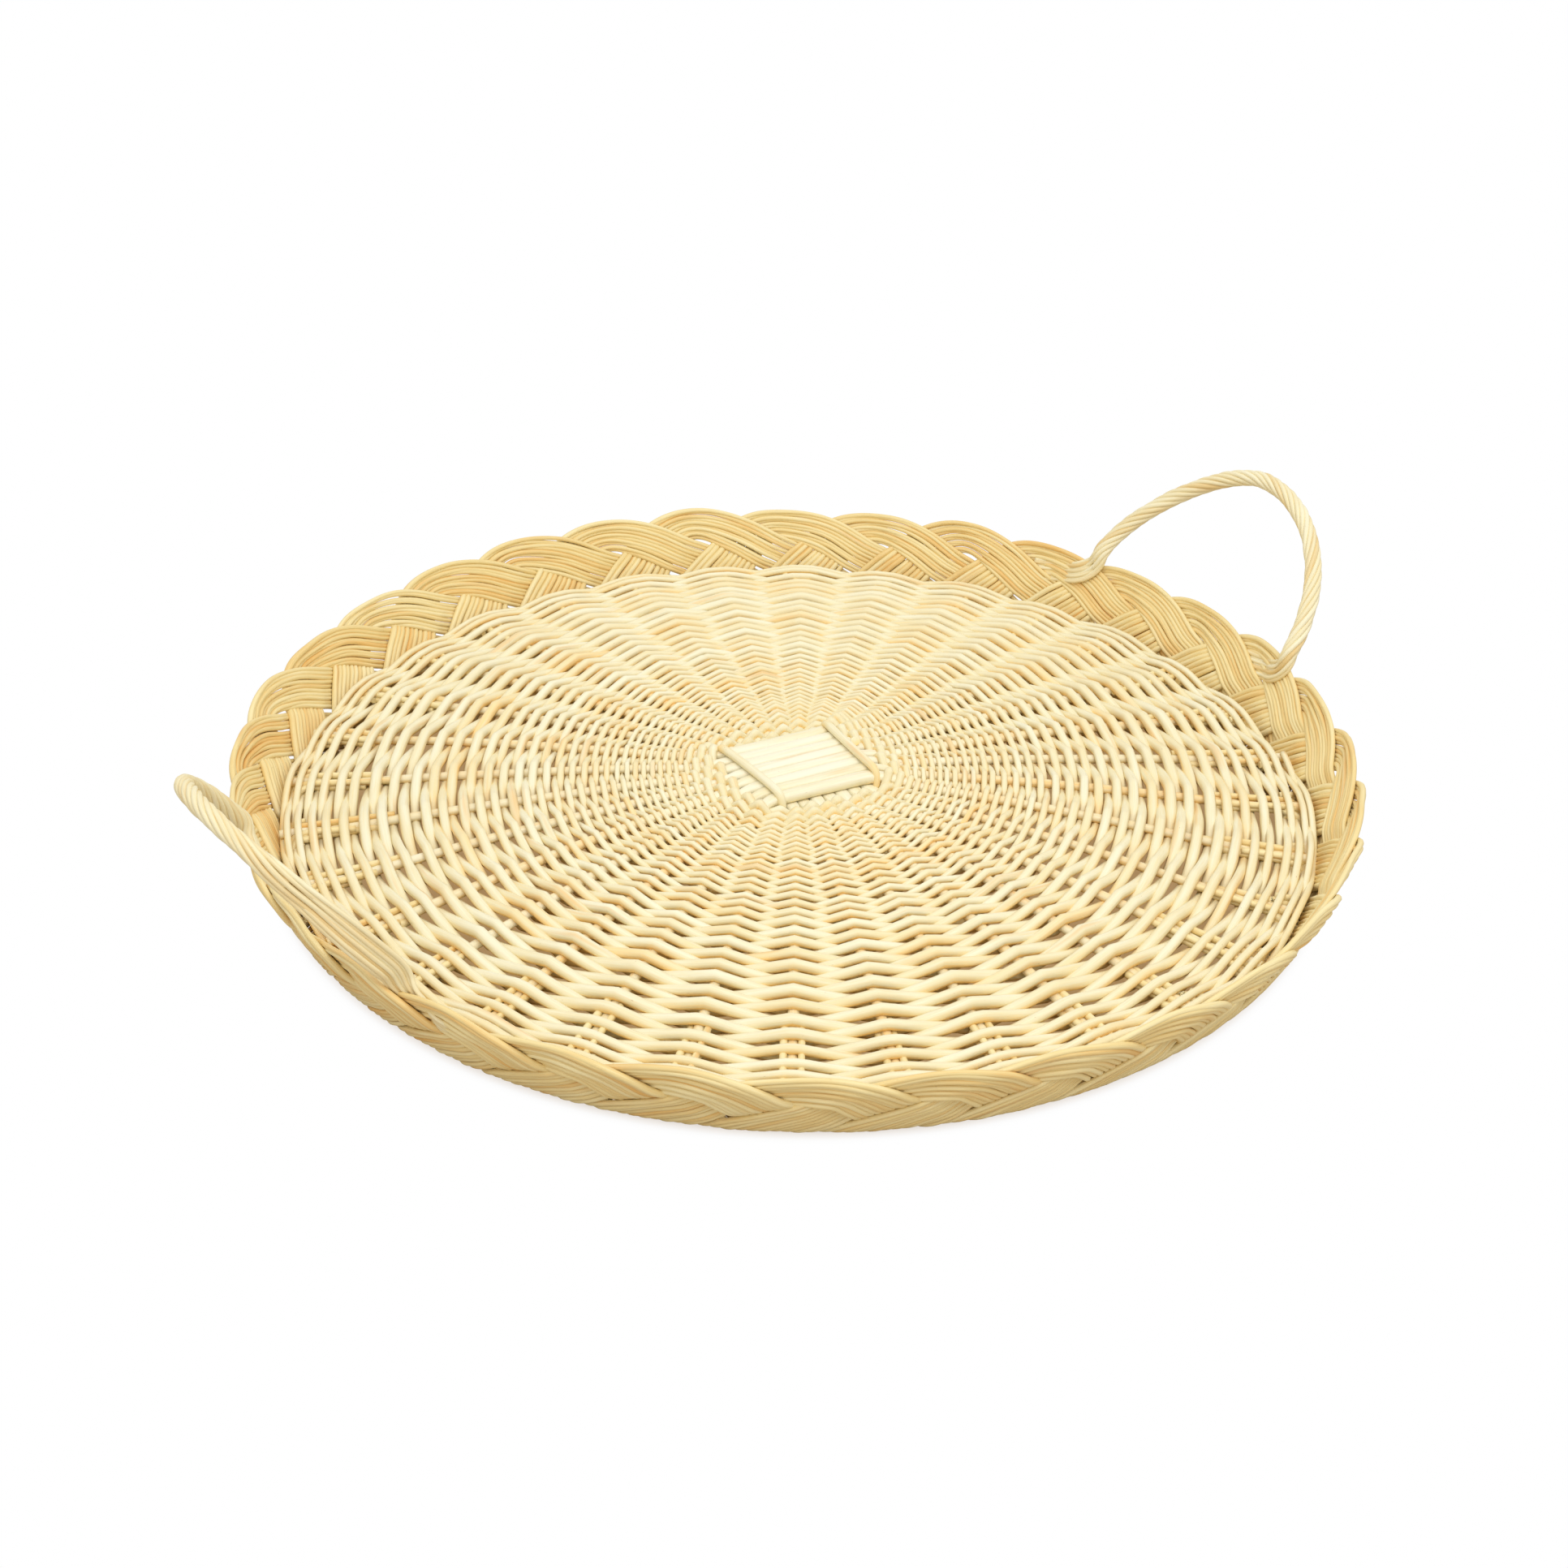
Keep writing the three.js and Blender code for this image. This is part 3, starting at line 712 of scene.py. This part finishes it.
def crest_line(edge, share, own):
    """A rod's line over the crest, whose top is moved by own; edge goes from one, outside, to minus one."""
    start, peak, end = lattice(0.0, CREST_START), lattice(0.0, 0.0), lattice(CREST_END, 0.0)
    share = share[:, None]
    middle = curve(start, peak, end, share)
    first = lattice(-RISING_HALF, CREST_START) - start
    last = lattice(CREST_END, FALLING_HALF) - end
    bunch = (2 * share - 1) ** 2
    near = np.where(share < 0.5, np.linalg.norm(first), np.linalg.norm(last))
    half = CREST_WIDTH / 2 + (near - CREST_WIDTH / 2) * bunch
    first_angle = math.atan2(first[1], first[0])
    turn = first_angle + (math.atan2(last[1], last[0]) - first_angle) * share
    line = middle + edge * half * np.concatenate([np.cos(turn), np.sin(turn)], axis=1)
    return line + own * np.sin(np.pi * share) ** 2


def root_line(index, rod, rng):
    """The butt of a border rod, which lies beside its spoke in one of two layers."""
    reach = LONG_ROOT if abs(ROOT_COLUMNS[rod]) < SPOKE_WIDTH else SHORT_ROOT
    radius = np.array([rng.uniform(*reach), ROOT_END])
    angle = spoke_angle(index) + ROOT_COLUMNS[rod] / radius
    height = floor_height(radius) + ROOT_LEVELS[rod]
    return np.stack([radius * np.cos(angle), radius * np.sin(angle), height], axis=1)


def plait_line(index, rod, own):
    """A border rod's way up the wall, over the crest, down again and in under the edge."""
    edge = (1 - 2 * rod / (BORDER_RODS - 1)) * (1 - 1 / BORDER_RODS)

    foot = -REACH - FOOT_DEPTH / CROSSING_RISE - edge * FOOT_HALF
    falling = np.linspace(foot, CREST_START, RISING_POINTS)
    fan = RISING_HALF + (FOOT_HALF - RISING_HALF) * (1 - smoothstep(falling, *FAN_ZONE))
    up = lattice(-edge * fan, falling)
    up_layer = np.interp(falling, RISING_CROSSES, [-LAYER, LAYER])

    share = np.linspace(0, 1, CREST_POINTS)[1:]
    over = crest_line(edge, share, own)
    stack = (CREST_STACK if rod % 2 else -CREST_STACK) * np.sin(np.pi * share)
    turn = 0.5 - CREST_SLANT * edge
    over_layer = LAYER * (1 - 2 * smoothstep(share, turn - CREST_WINDOW, turn + CREST_WINDOW)) + stack

    fall = edge * FALLING_HALF
    last = REACH + fall - FALLING_SAG + (FOOT_LINE - TAIL_HEIGHT) / CROSSING_RISE
    across = np.linspace(CREST_END, last, FALLING_POINTS)[1:]
    down = lattice(across, fall - FALLING_SAG * (across - CREST_END) / (last - CREST_END))
    down_layer = np.interp(across, FALLING_CROSSES, [-LAYER, LAYER])

    share = np.linspace(0, 1, TAIL_POINTS)[1:]
    low = BORDER_ROD / 2 / math.cos(LEAN) + TAIL_CLEARANCE
    tail_height = low + (TAIL_HEIGHT - low) * (1 - np.minimum(share * TAIL_STEEPNESS, 1)) ** 2
    tail = np.stack([down[-1, 0] + TAIL_RUN * share, tail_height], axis=1)
    tail_layer = LAYER - TAIL_TUCK * share ** 2

    flat = np.concatenate([up, over, down, tail])
    layer = np.concatenate([up_layer, over_layer, down_layer, tail_layer])
    return wall_point(spoke_angle(index) - flat[:, 0] / STEP_LENGTH * STEP, flat[:, 1], layer)


def border_rod_line(index, rod, own, rng):
    """The whole line of one border rod, with small bends of its own."""
    path = np.concatenate([root_line(index, rod, rng), plait_line(index, rod, own)])
    path = soften(resample(path, POINT_SPACING), POINT_SPACING, BORDER_BEND)
    count = len(path)
    outward = unit(path * [1, 1, 0])
    sideways = unit(np.cross(directions(path), outward))
    aside = BORDER_STRAY_SIDE * wander(count, POINT_SPACING, BORDER_STRAY_REACH, rng)
    path = path + sideways * aside[:, None]
    out = BORDER_STRAY_OUT * wander(count, POINT_SPACING, BORDER_STRAY_REACH, rng)
    path = path + outward * out[:, None]
    path[:, 2] = np.maximum(path[:, 2], BORDER_ROD / 2 + TABLE_CLEARANCE)
    return resample(path, BORDER_SPACING)


def make_bundle(index):
    rng = np.random.default_rng([BORDER_SEED, index])
    name = f"border_bundle_{index + 1:02d}"
    rods = Rods()
    bundle_tone = BUNDLE_TONE_SPREAD * rng.normal()
    own = rng.normal(size=2) * CREST_SPREAD
    for rod in range(BORDER_RODS):
        path = border_rod_line(index, rod, own, rng)
        count = len(path)
        share = np.linspace(0, 1, count)
        radius = np.interp(share, BORDER_SHARES, [BORDER_BUTT, BORDER_BUTT, BORDER_ROD, BORDER_TIP]) / 2
        own_size = 1 + BORDER_SIZE_SPREAD * rng.normal()
        radius *= own_size + BORDER_SIZE_WAVE * wander(count, BORDER_SPACING, BORDER_SIZE_REACH, rng)
        tone = BORDER_TONE + bundle_tone + BORDER_TONE_SPREAD * rng.normal()
        tone = tone + BORDER_TONE_WAVE * wander(count, BORDER_SPACING, BORDER_TONE_REACH, rng)
        tone = tone - ROOT_TONE * (1 - smoothstep(share, *ROOT_TONE_ZONE))
        # Painted shade: the inner rods of a bundle are drawn deeper on the sides that press against their
        # neighbours.
        groove_shade = GROOVE_SHADE if 0 < rod < BORDER_RODS - 1 else 0.0
        tone = tone[:, None] + groove_shade * smoothstep(np.abs(ring_of(ROD_SIDES)[:, 0]), *GROOVE_SHADE_ZONE)
        rods.add(path, radius, unit(path * [1, 1, 0]), tone, rng)
    dress(rods, f"{name}_rods", border_willow, "border", "tray", name)


for bundle in range(SPOKES):
    make_bundle(bundle)


# The handles: lopsided loops of twisted rope, whose rods lie flat where they are tucked into the plait.
# Distances along the rope start at the hidden end of a foot.
HANDLE_SEED = 51
HANDLE_SPAN = 120.0
HANDLE_HEIGHT = 63.0
HANDLE_LEAN = math.radians(39)
BACK_BOW = 1.34
FRONT_BOW = 0.98
LOOP_SKEW = 2.5
LOOP_POINTS = 90
PIVOT_RADIUS = 219.262
PIVOT_ANGLE = math.asin(HANDLE_SPAN / 2 / PIVOT_RADIUS)
PIVOT_HEIGHT = 36.994
PIVOT_X = PIVOT_RADIUS * math.cos(PIVOT_ANGLE)
TUCK_POINTS = 40
TUCK_END = np.array([32.0, BORDER_TOP - 13.0])
TUCK_PULL = np.array([5.0, BORDER_TOP - 10.0])
TUCK_TOP = np.array([0.0, BORDER_TOP])
TUCK_WIDTH = 9.5
TUCK_OFFSET = -3.81
TUCK_HIDDEN = 0.4
FIRST_DIVE = (10, 17)
LAST_DIVE = (6, 14)
ROPE_BEND = 3.0
FACING_SCALE = 0.001
STRANDS = 8
STRAND = 2.3
STRAND_SPREAD = 0.03
STRAND_RING = 2.45
STRAND_STRAY = 0.1
STRAND_STRAY_REACH = 10
STRAND_PHASE = 0.35
TWIST_LENGTH = 46.0
FLAT_THINNER = 0.2
FLAT_STAGGER = 0.35
CORE_RADIUS = 1.7
CORE_SHADED_TONE = 0.7
CORE_FROM = 0.45
ROPE_TONE = 0.4
ROPE_TONE_SPREAD = 0.1
ROPE_TONE_WAVE = 0.05
ROPE_TONE_REACH = 20
FLAT_TONE = 0.15
LAY_SHADE = 0.3
LAY_SHADE_ZONE = (-0.8, 0.1)

# A foot becomes rope over a short stretch, but one foot of the left handle is a long band over the rim.
SHORT_FOOT = {"untwisted": (26, 44), "width": TUCK_WIDTH, "roll": 0.0}
LONG_FOOT = {"untwisted": (58, 125), "width": 11.0, "roll": math.radians(80)}
FOOT_WIDENS = (20, 45)
FOOT_ROLLS = (22, 48)


def tuck_line(side, dive):
    """From the hidden end of a tuck to the border's top: the line, and the wall's inward direction."""
    share = np.linspace(0, 1, TUCK_POINTS)[:, None]
    flat = curve(TUCK_END, TUCK_PULL, TUCK_TOP, share)
    offset = TUCK_OFFSET + (TUCK_HIDDEN - TUCK_OFFSET) * smoothstep(flat[:, 0], *dive)
    angle = side * PIVOT_ANGLE + flat[:, 0] / PIVOT_RADIUS
    inward = np.stack([-np.cos(angle) * math.cos(LEAN), -np.sin(angle) * math.cos(LEAN),
                       np.full(len(angle), math.sin(LEAN))], axis=1)
    return wall_point(angle, flat[:, 1], offset), inward


def handle_line():
    """The whole line of the right handle's rope, from hidden end to hidden end, and which way it faces."""
    first, first_inward = tuck_line(1, FIRST_DIVE)
    last, last_inward = tuck_line(-1, LAST_DIVE)
    angle = np.linspace(0, math.pi, LOOP_POINTS)
    lean = np.array([math.sin(HANDLE_LEAN), 0, math.cos(HANDLE_LEAN)])
    bow = np.where(np.cos(angle) > 0, BACK_BOW, FRONT_BOW)
    above = np.abs(np.sin(angle)) ** bow
    aside = np.sign(np.cos(angle)) * np.abs(np.cos(angle)) ** bow * HANDLE_SPAN / 2 + LOOP_SKEW * above
    loop = np.array([PIVOT_X, 0, PIVOT_HEIGHT]) + aside[:, None] * [0, 1, 0]
    loop = loop + above[:, None] * HANDLE_HEIGHT * lean
    inward = np.broadcast_to([-math.cos(HANDLE_LEAN), 0, math.sin(HANDLE_LEAN)], loop.shape)
    line = np.concatenate([first, loop, last[::-1]])
    facing = np.concatenate([first_inward, inward, last_inward[::-1]])

    # The directions ride along as columns too small to count in the spacing of the points.
    both = resample(np.concatenate([line, facing * FACING_SCALE], axis=1), POINT_SPACING)
    both = soften(both, POINT_SPACING, ROPE_BEND)
    return both[:, :3], unit(both[:, 3:])


def strand_twist(strand, turns):
    return 2 * np.pi * ((strand + STRAND_PHASE) / STRANDS + turns)


def strand_order(turns):
    """The places of the strands side by side, where the rope has turned so far and is laid flat."""
    return np.argsort(np.argsort(np.cos(strand_twist(np.arange(STRANDS), turns))))


def make_handle(name, turn, foot):
    rng = np.random.default_rng([HANDLE_SEED, int(turn > 0)])
    line, facing = handle_line()
    count = len(line)
    along = np.arange(count, dtype=float)
    length = along[-1]
    tangent = directions(line)
    above = unit(facing - (facing * tangent).sum(1, keepdims=True) * tangent)
    side = np.cross(above, tangent)
    roped = smoothstep(along, *foot["untwisted"]) * smoothstep(length - along, *SHORT_FOOT["untwisted"])
    turns = np.cumsum(roped) / TWIST_LENGTH
    at_first_foot = along < length / 2
    width = TUCK_WIDTH + (foot["width"] - TUCK_WIDTH) * smoothstep(along, *FOOT_WIDENS) * at_first_foot
    roll = foot["roll"] * smoothstep(along, *FOOT_ROLLS) * at_first_foot
    first_order = strand_order(0)
    last_order = strand_order(turns[-1])
    rods = Rods()
    for strand in range(STRANDS):
        twist = strand_twist(strand, turns)
        ring = STRAND_RING + STRAND_STRAY * wander(count, POINT_SPACING, STRAND_STRAY_REACH, rng)
        order = np.where(at_first_foot, first_order[strand], last_order[strand])
        across = (order - (STRANDS - 1) / 2) * (width / STRANDS)
        upward = np.where(order % 2 == 0, FLAT_STAGGER, -FLAT_STAGGER)
        flat_x = across * np.cos(roll) - upward * np.sin(roll)
        flat_y = across * np.sin(roll) + upward * np.cos(roll)
        x = flat_x + (ring * np.cos(twist) - flat_x) * roped
        y = flat_y + (ring * np.sin(twist) - flat_y) * roped
        path = line + side * x[:, None] + above * y[:, None]
        tone = ROPE_TONE + ROPE_TONE_SPREAD * rng.normal()
        tone = tone + ROPE_TONE_WAVE * wander(count, POINT_SPACING, ROPE_TONE_REACH, rng)
        tone = tone + FLAT_TONE * (1 - roped)
        # Painted shade: where the rope is twisted, each strand is drawn deeper on all but its outer face,
        # most on the side towards the rope's middle.
        outward = np.stack([np.cos(twist), np.sin(twist)], axis=1) @ ring_of(ROD_SIDES).T
        tone = tone[:, None] + LAY_SHADE * roped[:, None] * smoothstep(-outward, *LAY_SHADE_ZONE)
        radius = STRAND / 2 * (1 + STRAND_SPREAD * rng.normal()) * (1 - FLAT_THINNER * (1 - roped))
        rods.add(turned(path, turn), radius, turned(above, turn), tone, rng)
    core = roped > CORE_FROM
    # Painted shade: the core, seen only between the strands, is drawn with a deep tone.
    rods.add(turned(line[core], turn), CORE_RADIUS, turned(above[core], turn), CORE_SHADED_TONE, rng)
    piece = rods.build(f"{name}_handle_rope", handle_willow)
    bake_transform(piece)
    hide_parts(f"{name}_handle_loop", f"{name}_handle_tuck_a", f"{name}_handle_tuck_b")


make_handle("right", 0.0, SHORT_FOOT)
make_handle("left", math.pi, LONG_FOOT)


# The stage, in metres: white around the tray, and warm and darker under it, between the rods, where a
# painted warm glow and a warm matt colour stand in for light filtered through the willow.
STAGE_HALF = 6.0
GLOW_EDGE = (0.196, 0.214)
PAINTED_GLOW_UNDER_TRAY = 0.45
GLOW_AROUND = 1.0
COLOUR_EDGE = (0.195, 0.21)
# Under the tray the glow is a painted warm light, brown, standing in for light through the willow; around
# it the glow is the white backdrop.
GLOW_COLOURS = ((0.7, 0.44, 0.2, 1), (1, 1, 1, 1))
# The matt colour under the tray is warmed to stand in for light filtered through the willow.
MATT_COLOURS = ((0.96, 0.82, 0.56, 1), (0.6, 0.54, 0.46, 1))


def stage_material():
    material = bpy.data.materials.new("studio_floor")
    material.use_nodes = True
    nodes = material.node_tree.nodes
    links = material.node_tree.links
    nodes.clear()
    place = nodes.new("ShaderNodeNewGeometry")
    distance = nodes.new("ShaderNodeVectorMath")
    distance.operation = "LENGTH"
    links.new(place.outputs["Position"], distance.inputs[0])

    def by_distance(colours, target):
        ramp = nodes.new("ShaderNodeValToRGB")
        for element, position, colour in zip(ramp.color_ramp.elements, COLOUR_EDGE, colours):
            element.position = position
            element.color = colour
        links.new(distance.outputs["Value"], ramp.inputs["Fac"])
        links.new(ramp.outputs["Color"], target)

    matt = nodes.new("ShaderNodeBsdfDiffuse")
    by_distance(MATT_COLOURS, matt.inputs["Color"])
    glow = nodes.new("ShaderNodeEmission")
    glow.inputs["Strength"].default_value = 1.0
    by_distance(GLOW_COLOURS, glow.inputs["Color"])

    away = nodes.new("ShaderNodeMapRange")
    away.interpolation_type = "SMOOTHSTEP"
    away.inputs["From Min"].default_value = GLOW_EDGE[0]
    away.inputs["From Max"].default_value = GLOW_EDGE[1]
    away.inputs["To Min"].default_value = PAINTED_GLOW_UNDER_TRAY
    away.inputs["To Max"].default_value = GLOW_AROUND
    links.new(distance.outputs["Value"], away.inputs["Value"])
    rays = nodes.new("ShaderNodeLightPath")
    seen = nodes.new("ShaderNodeMath")
    seen.operation = "MULTIPLY"
    links.new(rays.outputs["Is Camera Ray"], seen.inputs[0])
    links.new(away.outputs["Result"], seen.inputs[1])

    mix = nodes.new("ShaderNodeMixShader")
    links.new(seen.outputs["Value"], mix.inputs["Fac"])
    links.new(matt.outputs["BSDF"], mix.inputs[1])
    links.new(glow.outputs["Emission"], mix.inputs[2])
    output = nodes.new("ShaderNodeOutputMaterial")
    links.new(mix.outputs["Shader"], output.inputs["Surface"])
    return material


def make_stage():
    half = STAGE_HALF
    corners = [(-half, -half, 0), (half, -half, 0), (half, half, 0), (-half, half, 0)]
    mesh = bpy.data.meshes.new("studio_floor")
    mesh.from_pydata(corners, [], [(0, 1, 2, 3)])
    mesh.materials.append(stage_material())
    floor = bpy.data.objects.new("studio_floor", mesh)
    bpy.context.scene.collection.objects.link(floor)


# The light: a white surrounding that lights the tray a little less than it shows, and one large lamp.
SKY_LIGHT = 0.77
SKY_SEEN = 1.0
LAMP_SIZE = 1.6
LAMP_POWER = 14.0
LAMP_AZIMUTH = math.radians(248)
LAMP_ELEVATION = math.radians(66)
LAMP_DISTANCE = 1.7


def make_sky():
    world = bpy.data.worlds.new("studio")
    bpy.context.scene.world = world
    world.use_nodes = True
    nodes = world.node_tree.nodes
    links = world.node_tree.links
    nodes.clear()
    rays = nodes.new("ShaderNodeLightPath")

    def either(first, second):
        node = nodes.new("ShaderNodeMath")
        node.operation = "MAXIMUM"
        links.new(first, node.inputs[0])
        links.new(second, node.inputs[1])
        return node.outputs["Value"]

    seen = either(rays.outputs["Is Camera Ray"], rays.outputs["Is Glossy Ray"])
    seen = either(seen, rays.outputs["Is Transmission Ray"])
    strength = nodes.new("ShaderNodeMapRange")
    strength.inputs["To Min"].default_value = SKY_LIGHT
    strength.inputs["To Max"].default_value = SKY_SEEN
    links.new(seen, strength.inputs["Value"])
    sky = nodes.new("ShaderNodeBackground")
    sky.inputs["Color"].default_value = (1, 1, 1, 1)
    links.new(strength.outputs["Result"], sky.inputs["Strength"])
    output = nodes.new("ShaderNodeOutputWorld")
    links.new(sky.outputs["Background"], output.inputs["Surface"])


def make_lamp():
    key = bpy.data.lights.new("key_softbox", "AREA")
    key.shape = "DISK"
    key.size = LAMP_SIZE
    key.energy = LAMP_POWER
    lamp = bpy.data.objects.new("key_softbox", key)
    lamp.location = (
        LAMP_DISTANCE * math.cos(LAMP_ELEVATION) * math.cos(LAMP_AZIMUTH),
        LAMP_DISTANCE * math.cos(LAMP_ELEVATION) * math.sin(LAMP_AZIMUTH),
        LAMP_DISTANCE * math.sin(LAMP_ELEVATION),
    )
    lamp.rotation_euler = (math.pi / 2 - LAMP_ELEVATION, 0, LAMP_AZIMUTH + math.pi / 2)
    bpy.context.scene.collection.objects.link(lamp)


# The camera, in metres and degrees.
CAMERA_LENS = 60.016
CAMERA_SENSOR = 36.0
CAMERA_PLACE = (-0.536054, -0.729749, 0.549458)
CAMERA_TURN = (59.3923, -1.1248, -35.2954)
CAMERA_FARTHEST = 50.0


def make_camera():
    data = bpy.data.cameras.new("camera")
    data.sensor_width = CAMERA_SENSOR
    data.sensor_fit = "HORIZONTAL"
    data.lens = CAMERA_LENS
    data.clip_end = CAMERA_FARTHEST
    camera = bpy.data.objects.new("camera", data)
    camera.location = CAMERA_PLACE
    camera.rotation_euler = [math.radians(angle) for angle in CAMERA_TURN]
    bpy.context.scene.collection.objects.link(camera)
    bpy.context.scene.camera = camera


make_stage()
make_sky()
make_lamp()
make_camera()
bpy.context.scene.view_settings.view_transform = "Standard"
